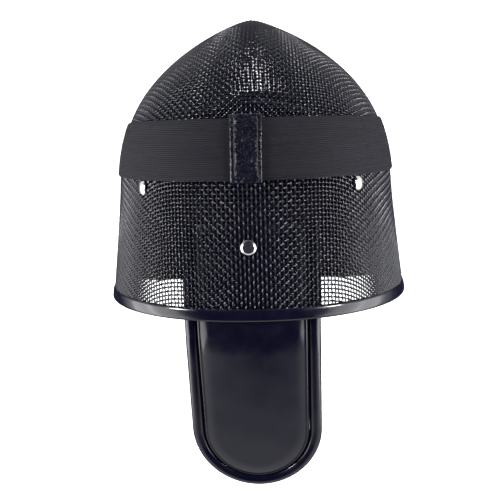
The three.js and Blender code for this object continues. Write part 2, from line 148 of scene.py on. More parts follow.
# ---------------------------------------------------------------- wire cage
# Steel wire, thickened by enamel, plain-woven at 3 mm and pressed into a cage with a ridge down the face.
# Wefts run over the crown from side to side and warps from the back edge down to the chin, each over
# one and under the next. Their ends are cut and held in the edging.
CROWN_LEAN = math.radians(12)   # how far the crown line falls towards the back
CROWN_HEIGHT = 0.385
FOOTPRINT_SHIFT = -0.06175
SHOULDER_DEPTH = 0.129          # crown line down to where the sides stand upright
DOME_START = 0.033              # v where the level crown turns into the forehead
DOME_REACH = 0.132
REAR_EDGE = 0.122               # v of the back edge
SIDE_HALF_WIDTH = 0.1105
REAR_FLARE = 0.0112
FLARE_SOFTNESS = 0.2
CROWN_DROP = 0.004
CHIN_DEPTH = 0.272
CHIN_RECEDE = 0.055
JAW_TAPER = 0.026
RIDGE_POINT = 0.36
RIDGE_RADIUS = 0.005
JAW_REAR_DEPTH = 0.165
CHIN_V = DOME_START - DOME_REACH + CHIN_RECEDE

WIRE_PITCH = 0.003
WIRE_RADIUS = 0.00068
WEAVE_HEIGHT = 0.00062          # how far a wire stands over and under the middle surface
LEAN_START = 0.010              # depth below which the first weft leans back
LEAN_SOFTNESS = 0.030
LEAN_SLOPE = 1.2
FIRST_WEFT_DEPTH = 0.26         # how far down the first weft's route is drawn
WEFTS_DOWN_SIDE = 124


def to_world(points):
    """Mask coordinates (x, v, h) turned about x by the crown's lean, then lifted to the crown's height."""
    x, v, h = np.moveaxis(points, -1, 0)
    lean_cos, lean_sin = math.cos(CROWN_LEAN), math.sin(CROWN_LEAN)
    return np.stack([x, v * lean_cos + h * lean_sin + FOOTPRINT_SHIFT,
                     CROWN_HEIGHT - v * lean_sin + h * lean_cos], -1)


def turned(directions):
    """Directions in mask coordinates turned about x by the crown's lean."""
    return to_world(directions) - to_world(np.zeros(3))


def unit(vectors):
    """Each vector divided by its length."""
    return vectors / np.maximum(np.linalg.norm(vectors, axis=-1, keepdims=True), 1e-12)


def back_share(v):
    """Half of (s + hypot(s, softness)), a soft ramp, with s from 0 at the dome to 1 at the back edge."""
    share = (v - DOME_START) / (REAR_EDGE - DOME_START)
    return (share + np.hypot(share, FLARE_SOFTNESS)) / 2


def arch_at(v, h):
    """The arch over a place of the middle plane.

    Its half width, its point, and how filled it is: the squares of its shares of the rise and the reach,
    added up.
    """
    back = back_share(v)
    below = np.maximum(0, -h - SHOULDER_DEPTH) / (CHIN_DEPTH - SHOULDER_DEPTH)
    side = SIDE_HALF_WIDTH + REAR_FLARE * back - JAW_TAPER * below**2
    rise = np.maximum(0, h + SHOULDER_DEPTH) / (SHOULDER_DEPTH - CROWN_DROP * back**2)
    reach = np.maximum(0, DOME_START - v) / (DOME_REACH - CHIN_RECEDE * below**2)
    t = np.clip((reach - 0.1) / 0.9, 0, 1)
    return side, RIDGE_POINT * t * t * (3 - 2 * t), rise**2 + reach**2


def softened(x):
    """A distance across the ridge that starts off round: hypot(x, radius) less the radius."""
    return np.hypot(x, RIDGE_RADIUS) - RIDGE_RADIUS


def half_width(v, h):
    """Half the cage's width: an ellipse's height over how filled the place is, less the ridge's point."""
    side, point, filled = arch_at(v, h)
    share = (np.sqrt(1 - np.minimum(1, filled) * (1 - point**2)) - point) / (1 - point)
    return np.sqrt(np.maximum(0, (share * softened(side) + RIDGE_RADIUS) ** 2 - RIDGE_RADIUS**2))


def level(points):
    """0 on the cage's middle surface and less inside it. half_width solves it for x."""
    x, v, h = np.moveaxis(points, -1, 0)
    side, point, filled = arch_at(v, h)
    share = softened(x) / softened(side)
    return (point + share * (1 - point)) ** 2 + filled * (1 - point**2) - 1


def slope(points):
    """The three slopes of level, by small steps either way."""
    step = 2e-5 * np.eye(3)
    return np.stack([level(points + d) - level(points - d) for d in step], -1) / 4e-5


def crown_line(v):
    """Height of the outline over v: an ellipse's arc in front of the dome's start, level behind it."""
    reach = np.clip(np.maximum(0, DOME_START - v) / DOME_REACH, 0, 1)
    return (SHOULDER_DEPTH - CROWN_DROP * back_share(v) ** 2) * np.sqrt(1 - reach**2) - SHOULDER_DEPTH


def jaw_edge(v):
    """Height of the jaw edge over v, a straight line from its rear corner to the chin."""
    share = (REAR_EDGE - v) / (REAR_EDGE - CHIN_V)
    return -JAW_REAR_DEPTH + (JAW_REAR_DEPTH - CHIN_DEPTH) * share


def outline(samples=3000):
    """The line in the middle plane from the back edge over the crown, round the dome and past the chin."""
    v = np.linspace(REAR_EDGE, DOME_START, samples)
    turn = np.linspace(0, math.pi / 2, samples)
    below = np.linspace(0, 1.15, samples)
    return np.concatenate([
        np.stack([0 * v, v, crown_line(v)], -1),
        np.stack([0 * v, DOME_START - DOME_REACH * np.sin(turn), SHOULDER_DEPTH * (np.cos(turn) - 1)], -1),
        np.stack([0 * v, DOME_START - DOME_REACH + CHIN_RECEDE * below**2,
                  -SHOULDER_DEPTH - (CHIN_DEPTH - SHOULDER_DEPTH) * below], -1)])


def evenly(curve, spacing=None, count=None):
    """Points of a curve at even distances along it, each found between its two nearest samples."""
    run = np.r_[0, np.cumsum(np.linalg.norm(np.diff(curve, axis=0), axis=1))]
    at = np.linspace(0, run[-1], count) if count else np.arange(0, run[-1], spacing)
    return np.stack([np.interp(at, run, curve[:, k]) for k in range(curve.shape[1])], -1)


def next_crossings(a, b, guess):
    """Newton's steps to the points of the cage that are one pitch from a and one pitch from b."""
    point = guess
    for _ in range(6):
        off_a, off_b = point - a, point - b
        error = np.stack([(off_a**2).sum(-1) - WIRE_PITCH**2,
                          (off_b**2).sum(-1) - WIRE_PITCH**2,
                          level(point)], -1)
        matrix = np.stack([2 * off_a, 2 * off_b, slope(point)], -2)
        matrix[np.abs(np.linalg.det(matrix)) < 1e-12] = np.eye(3)
        step = np.linalg.solve(matrix, error[..., None])[..., 0]
        length = np.linalg.norm(step, axis=-1, keepdims=True)
        point = point - step * np.minimum(1, 0.4 * WIRE_PITCH / np.maximum(length, 1e-12))
    return point


def woven_net():
    """Crossings of the woven wire over one half of the cage: a net of equal meshes laid on from two lines.

    The ridge line is warp 0. The first weft starts where the dome does and leans back down the side.
    Every other crossing lies one pitch from its two neighbours, worked out diagonal by diagonal.
    """
    depth = crown_line(DOME_START) - FIRST_WEFT_DEPTH * (1 - np.cos(np.linspace(0, math.pi / 2, 6000)))
    below = np.maximum(0, -depth - LEAN_START)
    v = DOME_START + LEAN_SLOPE * (np.hypot(below, LEAN_SOFTNESS) - LEAN_SOFTNESS)
    first = evenly(np.stack([half_width(v, depth), v, depth], -1), WIRE_PITCH)[:WEFTS_DOWN_SIDE]
    first[0, 0] = 0
    ridge = outline()
    start = np.argmax(ridge[:, 1] <= DOME_START)
    halves = []
    for line in (ridge[start:], ridge[:start + 1][::-1]):
        spine = evenly(line, WIRE_PITCH)
        net = np.full((len(spine), len(first), 3), np.nan)
        net[:, 0] = spine
        net[0] = first
        for diagonal in range(2, len(spine) + len(first) - 1):
            i = np.arange(max(1, diagonal - len(first) + 1), min(len(spine) - 1, diagonal - 1) + 1)
            j = diagonal - i
            a, b = net[i - 1, j], net[i, j - 1]
            net[i, j] = next_crossings(a, b, a + b - net[i - 1, j - 1])
        halves.append(net)
    front, rear = halves
    return np.concatenate([rear[:0:-1], front])


def tube(points, normals, wide, tall, sides=4):
    """An ellipse carried along a path, its wide axis across the path and its tall one along the normal."""
    along = unit(np.gradient(points, axis=0))
    up = unit(normals - (normals * along).sum(-1, keepdims=True) * along)
    across = np.cross(along, up)
    turn = np.arange(sides) * 2 * math.pi / sides
    ring = (points[:, None] + np.cos(turn)[None, :, None] * across[:, None] * wide
            + np.sin(turn)[None, :, None] * up[:, None] * tall)
    index = np.arange(len(points) * sides).reshape(-1, sides)
    after = np.roll(index, -1, axis=1)
    walls = np.stack([index[:-1], after[:-1], after[1:], index[1:]], -1).reshape(-1, 4)
    return ring.reshape(-1, 3), [walls, index[:1, ::-1], index[-1:]]


def joined(parts):
    """Several (points, faces) put into one, each part's face numbers moved past the points before it."""
    points, faces, start = [], {}, 0
    for part_points, part_faces in parts:
        points.append(part_points)
        for group in part_faces:
            faces.setdefault(group.shape[1], []).append(group + start)
        start += len(part_points)
    return np.concatenate(points), [np.concatenate(groups) for groups in faces.values()]


def piece(name, shape, material, uv=None, sharp=None):
    """A mesh object from points and groups of faces, its faces turned out by the sign of their volume."""
    points, faces = shape
    volume = 0
    for group in faces:
        corner = points[group]
        for k in range(1, group.shape[1] - 1):
            volume += np.einsum("ij,ij->", corner[:, 0], np.cross(corner[:, k], corner[:, k + 1]))
    if volume < 0:
        faces = [group[:, ::-1] for group in faces]
    sizes = np.concatenate([np.full(len(group), group.shape[1]) for group in faces])
    corners = np.concatenate([group.ravel() for group in faces])
    mesh = bpy.data.meshes.new(name)
    mesh.vertices.add(len(points))
    mesh.vertices.foreach_set("co", points.astype(np.float32).ravel())
    mesh.loops.add(len(corners))
    mesh.loops.foreach_set("vertex_index", corners.astype(np.int32))
    mesh.polygons.add(len(sizes))
    mesh.polygons.foreach_set("loop_start", np.r_[0, np.cumsum(sizes)[:-1]].astype(np.int32))
    mesh.update(calc_edges=True)
    mesh.validate()
    if uv is not None:
        layer = mesh.uv_layers.new(name="UVMap")
        layer.data.foreach_set("uv", uv[corners].astype(np.float32).ravel())
    mesh.shade_smooth()
    if sharp is not None:
        mesh.set_sharp_from_angle(angle=math.radians(sharp))
    mesh.materials.append(material)
    made = bpy.data.objects.new(name, mesh)
    bpy.context.scene.collection.objects.link(made)
    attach(made, "root")
    return made


def run_of(inside):
    """First and last place of the longest unbroken run."""
    edges = np.flatnonzero(np.diff(np.r_[0, inside.astype(int), 0]))
    if not len(edges):
        return 0, 0
    starts, ends = edges[::2], edges[1::2]
    longest = np.argmax(ends - starts)
    return starts[longest], ends[longest]


def crimped(points, normals, signs):
    """A wire over and under its crossings, with a point on the middle surface between each two of them."""
    waved = points + normals * (signs * WEAVE_HEIGHT)[:, None]
    path = np.empty((2 * len(points) - 1, 3))
    path[::2] = waved
    path[1::2] = (points[1:] + points[:-1]) / 2
    up = np.empty_like(path)
    up[::2] = normals
    up[1::2] = normals[1:] + normals[:-1]
    return tube(to_world(path), turned(unit(up)), WIRE_RADIUS, WIRE_RADIUS)


def textured(material, scale, rough, bump, depth, detail=3.0, stretch=(1, 1, 1)):
    """Noise that runs the roughness between two values and lifts the surface by a bump."""
    nodes, links = material.node_tree.nodes, material.node_tree.links
    shader = nodes["Principled BSDF"]
    place = nodes.new("ShaderNodeTexCoord")
    mapping = nodes.new("ShaderNodeMapping")
    mapping.inputs["Scale"].default_value = stretch
    noise = nodes.new("ShaderNodeTexNoise")
    noise.inputs["Scale"].default_value = scale
    noise.inputs["Detail"].default_value = detail
    spread = nodes.new("ShaderNodeMapRange")
    spread.inputs["From Min"].default_value = 0.3
    spread.inputs["From Max"].default_value = 0.7
    spread.inputs["To Min"].default_value, spread.inputs["To Max"].default_value = rough
    lift = nodes.new("ShaderNodeBump")
    lift.inputs["Strength"].default_value = bump
    lift.inputs["Distance"].default_value = depth
    links.new(place.outputs["Object"], mapping.inputs["Vector"])
    links.new(mapping.outputs["Vector"], noise.inputs["Vector"])
    links.new(noise.outputs["Fac"], spread.inputs["Value"])
    links.new(spread.outputs["Result"], shader.inputs["Roughness"])
    links.new(noise.outputs["Fac"], lift.inputs["Height"])
    links.new(lift.outputs["Normal"], shader.inputs["Normal"])
    return noise, lift


def tinted(material, noise, dark, light):
    """The base colour runs between two colours with a noise."""
    nodes, links = material.node_tree.nodes, material.node_tree.links
    ramp = nodes.new("ShaderNodeValToRGB")
    ramp.color_ramp.elements[0].position = 0.35
    ramp.color_ramp.elements[1].position = 0.7
    ramp.color_ramp.elements[0].color = (*dark, 1)
    ramp.color_ramp.elements[1].color = (*light, 1)
    links.new(noise.outputs["Fac"], ramp.inputs["Fac"])
    links.new(ramp.outputs["Color"], nodes["Principled BSDF"].inputs["Base Color"])


enamel = finish("black_enamel", (0.002, 0.002, 0.003), 0.2)
enamel_noise, _ = textured(enamel, 260, (0.07, 0.16), 0.05, 0.0002)
tinted(enamel, enamel_noise, (0.0012, 0.0012, 0.006), (0.003, 0.003, 0.011))

net = woven_net()
net_normals = unit(slope(net))
on_cage = ((net[..., 2] > jaw_edge(net[..., 1]) + 0.0005) & (net[..., 1] < REAR_EDGE - 0.0003)
           & np.isfinite(net[..., 0]))
over = np.where(np.add.outer(np.arange(net.shape[0]), np.arange(net.shape[1])) % 2, -1.0, 1.0)
mirror = np.array([-1, 1, 1])

wefts = []
for i in range(net.shape[0]):
    first, last = run_of(on_cage[i])
    if first == 0 and last > 2:
        points = np.concatenate([(net[i, :last] * mirror)[:0:-1], net[i, :last]])
        normals = np.concatenate([(net_normals[i, :last] * mirror)[:0:-1], net_normals[i, :last]])
        wefts.append(crimped(points, normals, np.r_[over[i, :last][:0:-1], over[i, :last]]))
warps = {1: [], -1: []}
for j in range(net.shape[1]):
    first, last = run_of(on_cage[:, j])
    if last - first > 2:
        for hand in (1, -1) if j else (1,):
            sides = np.array([hand, 1, 1])
            warps[hand].append(crimped(net[first:last, j] * sides, net_normals[first:last, j] * sides,
                                       -over[first:last, j]))

half_count = sum(len(points) for points, _ in wefts) / 2
split = int(np.argmax(np.cumsum([len(points) for points, _ in wefts]) > half_count))
cage_pieces = [
    piece("cage_wefts_crown", joined(wefts[:split]), enamel),
    piece("cage_wefts_face", joined(wefts[split:]), enamel),
    piece("cage_warps_left", joined(warps[1]), enamel),
    piece("cage_warps_right", joined(warps[-1]), enamel),
]
for wires in cage_pieces:
    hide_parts("wire_cage")

# ---------------------------------------------------------------- edging
# A strip of glossy black vinyl folded over the wire ends and pressed shut. One strip runs over the
# crown's back edge, and one down each side and round the chin in one length.
EDGING_DEPTH = 0.008            # how far in from the cage's edge its legs reach
EDGING_NOSE = 0.0023            # half its thickness, and the radius of its fold
EDGING_FOLD = 0.001             # how far in the middle of its fold lies
EDGING_LIP = 0.0011             # where the legs' tips press on the wires
EDGING_WALL = 0.0010


def edging_section():
    """Two outlines of the folded strip as (depth into the cage, distance from its middle surface)."""
    fold = np.radians(np.linspace(96, 264, 15))
    nose = np.stack([EDGING_FOLD + EDGING_NOSE * np.cos(fold), EDGING_NOSE * np.sin(fold)], -1)
    leg = np.array([[EDGING_DEPTH, 0.60], [EDGING_DEPTH - 0.0004, 0.80], [EDGING_DEPTH - 0.0013, 0.90],
                    [0.0055, 0.98], [0.0030, 1.0]]) * (1, EDGING_NOSE)
    outer = np.concatenate([leg, nose, (leg * (1, -1))[::-1]])
    inside = EDGING_NOSE - EDGING_WALL
    inner_leg = np.stack([leg[:, 0], np.linspace(EDGING_LIP, inside, len(leg))], -1)
    inner_nose = np.stack([EDGING_FOLD + inside * np.cos(fold), inside * np.sin(fold)], -1)
    return outer, np.concatenate([inner_leg, inner_nose, (inner_leg * (1, -1))[::-1]])


def frames_along(path, towards):
    """At each point of a path on the cage: the way into the cage and the way off it, square to the path."""
    along = unit(np.gradient(path, axis=0))
    off = unit(slope(path))
    off = unit(off - (off * along).sum(-1, keepdims=True) * along)
    into = np.cross(along, off)
    into *= np.where((into * (towards - path)).sum(-1, keepdims=True) < 0, -1, 1)
    return into, off


def folded_strip(path, towards):
    """The strip's outer and inner outline carried along a path, closed by flat ends."""
    into, off = frames_along(path, towards)
    outer, inner = edging_section()
    loop = np.concatenate([outer, inner[::-1]])
    points = path[:, None] + loop[None, :, :1] * into[:, None] + loop[None, :, 1:] * off[:, None]
    size, width = len(loop), len(outer)
    index = np.arange(len(path) * size).reshape(-1, size)
    after = np.roll(index, -1, axis=1)
    walls = np.stack([index[:-1], after[:-1], after[1:], index[1:]], -1).reshape(-1, 4)
    k = np.arange(width - 1)
    end = np.stack([k, k + 1, size - 2 - k, size - 1 - k], -1)
    run = np.r_[0, np.cumsum(np.linalg.norm(np.diff(path, axis=0), axis=1))]
    uv = np.stack(np.broadcast_arrays(run[:, None], loop[None, :, 0]), -1).reshape(-1, 2)
    return (to_world(points.reshape(-1, 3)), [walls, end[:, ::-1], end + index[-1, 0]]), uv


def section_path(v, h, spacing):
    """The cage's edge over given places of the middle plane, evenly spaced, from one side to the other."""
    half_edge = evenly(np.stack([half_width(v, h), v, h], -1), spacing)
    return np.concatenate([(half_edge * mirror)[:0:-1], half_edge])


vinyl = finish("black_vinyl", (0.002, 0.002, 0.003), 0.18)
vinyl_noise, _ = textured(vinyl, 70, (0.12, 0.24), 0.06, 0.0006, detail=5)
tinted(vinyl, vinyl_noise, (0.0015, 0.0015, 0.0075), (0.0035, 0.0035, 0.0105))

crown_front = np.array([0, DOME_START, 0])
sweep_down = 1 - np.cos(np.linspace(0, math.pi / 2, 900))
rear_h = crown_line(REAR_EDGE) + (jaw_edge(REAR_EDGE) - crown_line(REAR_EDGE)) * sweep_down
rear_path = section_path(np.full_like(rear_h, REAR_EDGE), rear_h, 0.003)
jaw_v = CHIN_V + (REAR_EDGE - EDGING_DEPTH - 0.0003 - CHIN_V) * sweep_down
jaw_path = section_path(jaw_v, jaw_edge(jaw_v), 0.003)
for name, path in (("rear_edging_strip", rear_path), ("jaw_edging_strip", jaw_path)):
    shape, uv = folded_strip(path, crown_front)
    strip = piece(name, shape, vinyl, uv=uv, sharp=50)
    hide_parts(name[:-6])

# ---------------------------------------------------------------- head strap
# Black elastic webbing, 42 mm wide, woven with fine lengthwise ribs. It lies taut over the crown and
# down both sides, and is sewn down just above the jaw edging.
STRAP_FRONT = -0.0172
STRAP_BACK = 0.0242
STRAP_SWEEP = 0.004             # its ends lie this far forward of where it crosses the crown
STRAP_INSIDE = 0.0014
STRAP_WALL = 0.0014
STRAP_END = 0.015               # its ends stop this far above the jaw edge
STRAP_RIB = 0.0014
STRAP_YARN = 0.0008
STRAP_EDGE = 0.0009             # how far in its edges are rounded
STRAP_EDGE_HALF = 0.00015       # half its thickness at the edges


def bow(top, base, count, sweep=1.0):
    """Even points over the cage from the middle plane's place top down to base, as one half.

    v runs from the one to the other with a power of the share that h has run: 1 is a straight line.
    """
    share = (1 - np.cos(np.linspace(0, math.pi / 2, 400)))[:, None]
    place = top + (base - top) * np.concatenate([share**sweep, share], axis=1)
    half_points = np.c_[half_width(place[:, 0], place[:, 1]), place]
    half_points[0, 0] = 0
    return evenly(half_points, count=count)


def both_hands(rows):
    """Half rows, from the middle outwards, mirrored and joined to whole ones."""
    return np.concatenate([(rows * mirror)[:, :0:-1], rows], axis=1)


def slab(outer, inner):
    """A closed solid between two grids of one size, with a rim of faces between their borders."""
    rows, columns = outer.shape[:2]
    index = np.arange(rows * columns).reshape(rows, columns)
    face = np.stack([index[:-1, :-1], index[1:, :-1], index[1:, 1:], index[:-1, 1:]], -1).reshape(-1, 4)
    rim = np.r_[index[0, :-1], index[:-1, -1], index[-1, :0:-1], index[:0:-1, 0]]
    after = np.roll(rim, -1)
    under = rows * columns
    sides = np.stack([rim, after, under + after, under + rim], -1)
    points = np.concatenate([outer.reshape(-1, 3), inner.reshape(-1, 3)])
    return points, [face, face[:, ::-1] + under, sides]


def pillowed(distance, softness):
    """A share that rises from 0 at a border to 1 inside it as a quarter of a circle does."""
    t = np.clip(distance / softness, 0, 1)
    return np.sqrt(np.maximum(0, 1 - (1 - t) ** 2))


def grid_run(points):
    """Distances along the rows and the columns of a grid, each from its start, as two arrays."""
    across = np.linalg.norm(np.diff(points, axis=1), axis=-1).cumsum(1)
    down = np.linalg.norm(np.diff(points, axis=0), axis=-1).cumsum(0)
    return np.pad(across, ((0, 0), (1, 0))), np.pad(down, ((1, 0), (0, 0)))


def ribbed_web(name, color, dark):
    """Webbing: lengthwise ribs, crosswise yarns and long streaks from the piece's UV map, in metres, its
    colour darker in the low grooves of the ribs and yarns as painted shade.
    """
    material = finish(name, color, 0.7, sheen=0.01, specular=0.16)
    nodes, links = material.node_tree.nodes, material.node_tree.links
    shader = nodes["Principled BSDF"]
    place = nodes.new("ShaderNodeTexCoord")
    ribs = nodes.new("ShaderNodeTexWave")
    ribs.bands_direction = "Y"
    ribs.inputs["Scale"].default_value = math.pi / 10 / STRAP_RIB
    ribs.inputs["Distortion"].default_value = 0.6
    ribs.inputs["Detail Scale"].default_value = 0.3
    yarns = nodes.new("ShaderNodeTexWave")
    yarns.bands_direction = "X"
    yarns.inputs["Scale"].default_value = math.pi / 10 / STRAP_YARN
    yarns.inputs["Distortion"].default_value = 1.5
    blend = nodes.new("ShaderNodeMath")
    blend.operation = "MULTIPLY_ADD"
    blend.inputs[1].default_value = 0.35
    ramp = nodes.new("ShaderNodeValToRGB")
    ramp.color_ramp.elements[0].color = (*dark, 1)
    ramp.color_ramp.elements[1].color = (*color, 1)
    ramp.color_ramp.elements[0].position = 0.15
    ramp.color_ramp.elements[1].position = 0.62
    lift = nodes.new("ShaderNodeBump")
    lift.inputs["Strength"].default_value = 0.7
    lift.inputs["Distance"].default_value = 0.0004
    for wave in (ribs, yarns):
        links.new(place.outputs["UV"], wave.inputs["Vector"])
    links.new(yarns.outputs["Fac"], blend.inputs[0])
    links.new(ribs.outputs["Fac"], blend.inputs[2])
    streaks = nodes.new("ShaderNodeTexNoise")
    streaks.inputs["Scale"].default_value = 1.0
    streaks.inputs["Detail"].default_value = 5.0
    drawn = nodes.new("ShaderNodeVectorMath")
    drawn.operation = "MULTIPLY"
    drawn.inputs[1].default_value = (18, 420, 0)
    # The colour follows the ribs' and yarns' relief, darker where it is low, as painted shade in the
    # grooves, times random streaks along the strap.
    groove_shade_and_streaks = nodes.new("ShaderNodeMath")
    groove_shade_and_streaks.operation = "MULTIPLY"
    links.new(place.outputs["UV"], drawn.inputs[0])
    links.new(drawn.outputs["Vector"], streaks.inputs["Vector"])
    links.new(blend.outputs["Value"], groove_shade_and_streaks.inputs[0])
    links.new(streaks.outputs["Fac"], groove_shade_and_streaks.inputs[1])
    links.new(groove_shade_and_streaks.outputs["Value"], ramp.inputs["Fac"])
    links.new(ramp.outputs["Color"], shader.inputs["Base Color"])
    links.new(blend.outputs["Value"], lift.inputs["Height"])
    links.new(lift.outputs["Normal"], shader.inputs["Normal"])
    return material


strap_v = np.linspace(STRAP_FRONT, STRAP_BACK, 33)
strap_top = np.stack([strap_v, crown_line(strap_v)], -1)
strap_foot = np.stack([strap_v - STRAP_SWEEP, jaw_edge(strap_v - STRAP_SWEEP) + STRAP_END], -1)
strap_middle = both_hands(np.stack([bow(top, foot, 91) for top, foot in zip(strap_top, strap_foot)]))
strap_off = unit(slope(strap_middle))
strap_along, strap_across = grid_run(strap_middle)
from_edge = np.minimum(strap_across, strap_across[-1:] - strap_across)
round_edge = (pillowed(from_edge, STRAP_EDGE) * STRAP_WALL / 2)[..., None]
strap_core = strap_middle + strap_off * (STRAP_INSIDE + STRAP_WALL / 2)
strap_shape = slab(to_world(strap_core + strap_off * (STRAP_EDGE_HALF + round_edge)),
                   to_world(strap_core - strap_off * (STRAP_EDGE_HALF + round_edge) * 0.9))
strap_uv = np.tile(np.stack([strap_along - strap_along.mean(), strap_across], -1).reshape(-1, 2), (2, 1))
# Its second colour is the dark end of the ramp: painted shade in the rib and yarn grooves, and the darker
# streaks.
elastic = ribbed_web("black_elastic", (0.011, 0.011, 0.0155), (0.0015, 0.0015, 0.0045))
strap = piece("elastic_strap", strap_shape, elastic, uv=strap_uv, sharp=60)
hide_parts("head_strap")

# ---------------------------------------------------------------- strap sleeve
# A sleeve of soft, crinkled black leather, wrapped round the strap on top of the crown to keep it in
# place. A row of black stitches runs along each of its sides.
SLEEVE_HALF_WIDTH = 0.0105
SLEEVE_TOP = 0.0056             # its outer face over the cage's middle surface
SLEEVE_WALL = 0.0015
SLEEVE_MARGIN = 0.0018          # how far it reaches past the strap's edges
SLEEVE_ROLL = 0.0012            # radius of its rolled ends
SLEEVE_SEAM = 0.0076            # x of its rows of stitches
SLEEVE_FOOT = 0.0002            # its ends stop this far under the strap's inner face
STITCH_LENGTH = 0.0026
STITCH_PITCH = 0.0034


def crown_points(x, v):
    """Points of the crown or dome over x and v, found by halving between the shoulder and the outline."""
    low, high = np.broadcast_to(-SHOULDER_DEPTH, x.shape).copy(), crown_line(v) + 0 * x
    for _ in range(40):
        centre = (low + high) / 2
        inside = level(np.stack([x, v, centre], -1)) < 0
        low, high = np.where(inside, centre, low), np.where(inside, high, centre)
    return np.stack([x, v, low], -1)


def ripple(a, b, seed, waves, length):
    """Smooth unevenness: a sum of plane waves whose directions, lengths and starts come from a seed."""
    rng = np.random.default_rng(seed)
    total = 0
    for _ in range(waves):
        turn, phase = rng.uniform(0, 2 * math.pi, 2)
        wave = 2 * math.pi / (length * rng.uniform(0.6, 1.7))
        total = total + np.sin(wave * (a * math.cos(turn) + b * math.sin(turn)) + phase)
    return total / math.sqrt(waves)


def stitch_row(path, normals, length=STITCH_LENGTH, pitch=STITCH_PITCH, thick=0.00032):
    """Stitches along a path: each is a short thread that dives at both ends into what it sews."""
    run = np.r_[0, np.cumsum(np.linalg.norm(np.diff(path, axis=0), axis=1))]
    parts = []
    for start in np.arange(pitch / 2, run[-1] - length, pitch):
        at = start + length * np.array([0, 0.12, 0.5, 0.88, 1])
        line = np.stack([np.interp(at, run, path[:, k]) for k in range(3)], -1)
        off = unit(np.stack([np.interp(at, run, normals[:, k]) for k in range(3)], -1))
        lift = np.array([-0.8, 0.2, 0.5, 0.2, -0.8])[:, None] * thick
        parts.append(tube(line + off * lift, off, thick, thick, sides=6))
    return parts


def leather_finish(name, color, light):
    """Leather: creases from noise and fine pores from cells, over soft variation of colour."""
    material = finish(name, color, 0.38, coat=0.1, coat_roughness=0.3, specular=0.3)
    noise, lift = textured(material, 620, (0.14, 0.34), 0.9, 0.0008, detail=6)
    tinted(material, noise, color, light)
    nodes, links = material.node_tree.nodes, material.node_tree.links
    pores = nodes.new("ShaderNodeTexVoronoi")
    pores.inputs["Scale"].default_value = 900
    place = nodes.new("ShaderNodeTexCoord")
    fine = nodes.new("ShaderNodeBump")
    fine.inputs["Strength"].default_value = 0.35
    fine.inputs["Distance"].default_value = 0.0002
    links.new(place.outputs["Object"], pores.inputs["Vector"])
    links.new(pores.outputs["Distance"], fine.inputs["Height"])
    links.new(lift.outputs["Normal"], fine.inputs["Normal"])
    links.new(fine.outputs["Normal"], nodes["Principled BSDF"].inputs["Normal"])
    return material


leather = leather_finish("black_leather", (0.0015, 0.0015, 0.006), (0.004, 0.004, 0.010))
sleeve_x = np.linspace(-SLEEVE_HALF_WIDTH, SLEEVE_HALF_WIDTH, 41)
sleeve_flat = np.linspace(STRAP_FRONT - SLEEVE_MARGIN + SLEEVE_ROLL,
                          STRAP_BACK + SLEEVE_MARGIN - SLEEVE_ROLL, 81)
bend = np.radians(np.linspace(0, 80, 8))[1:]
roll_out, roll_down = SLEEVE_ROLL * np.sin(bend), SLEEVE_ROLL * (1 - np.cos(bend))
sleeve_v = np.r_[sleeve_flat[0] - roll_out[::-1], sleeve_flat, sleeve_flat[-1] + roll_out]
sleeve_fall = np.r_[roll_down[::-1], 0 * sleeve_flat, roll_down]
foot_fall = SLEEVE_TOP - STRAP_INSIDE - SLEEVE_FOOT
sleeve_v = np.r_[sleeve_v[0], sleeve_v, sleeve_v[-1]]
sleeve_fall = np.r_[foot_fall, sleeve_fall, foot_fall]
grid_v, grid_x = np.meshgrid(sleeve_v, sleeve_x, indexing="ij")
sleeve_base = crown_points(grid_x, grid_v)
sleeve_off = unit(slope(sleeve_base))
crinkle = 0.00022 * ripple(grid_x * 0.7, grid_v, 7, 14, 0.0065) * (sleeve_fall[:, None] < 0.001)
side_round = 0.0006 * (1 - pillowed(SLEEVE_HALF_WIDTH - np.abs(grid_x), 0.0012))
seam_dip = 0.00035 * np.exp(-((np.abs(grid_x) - SLEEVE_SEAM) / 0.0007) ** 2)
outside = (SLEEVE_TOP - sleeve_fall[:, None] + crinkle - side_round - seam_dip)[..., None]
inward = np.clip(grid_v, STRAP_FRONT - 0.0003, STRAP_BACK + 0.0003)
sleeve_lining = crown_points(grid_x, inward)
inside_height = np.minimum(outside[..., 0] - 0.0002, SLEEVE_TOP - SLEEVE_WALL)[..., None]
sleeve = piece("leather_sleeve", slab(to_world(sleeve_base + sleeve_off * outside),
                                      to_world(sleeve_lining + unit(slope(sleeve_lining)) * inside_height)),
               leather, sharp=55)
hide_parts("strap_sleeve")

thread = finish("black_thread", (0.012, 0.012, 0.013), 0.5, sheen=0.1)
textured(thread, 1500, (0.4, 0.65), 0.5, 0.0002, stretch=(1, 1, 0.4))
stitch_parts = []
for x in (-SLEEVE_SEAM, SLEEVE_SEAM):
    v = np.linspace(STRAP_FRONT, STRAP_BACK, 120)
    base = crown_points(np.full_like(v, x), v)
    off = unit(slope(base))
    stitch_parts += stitch_row(to_world(base + off * (SLEEVE_TOP - 0.0002)), turned(off))
piece("sleeve_stitches", joined(stitch_parts), thread)

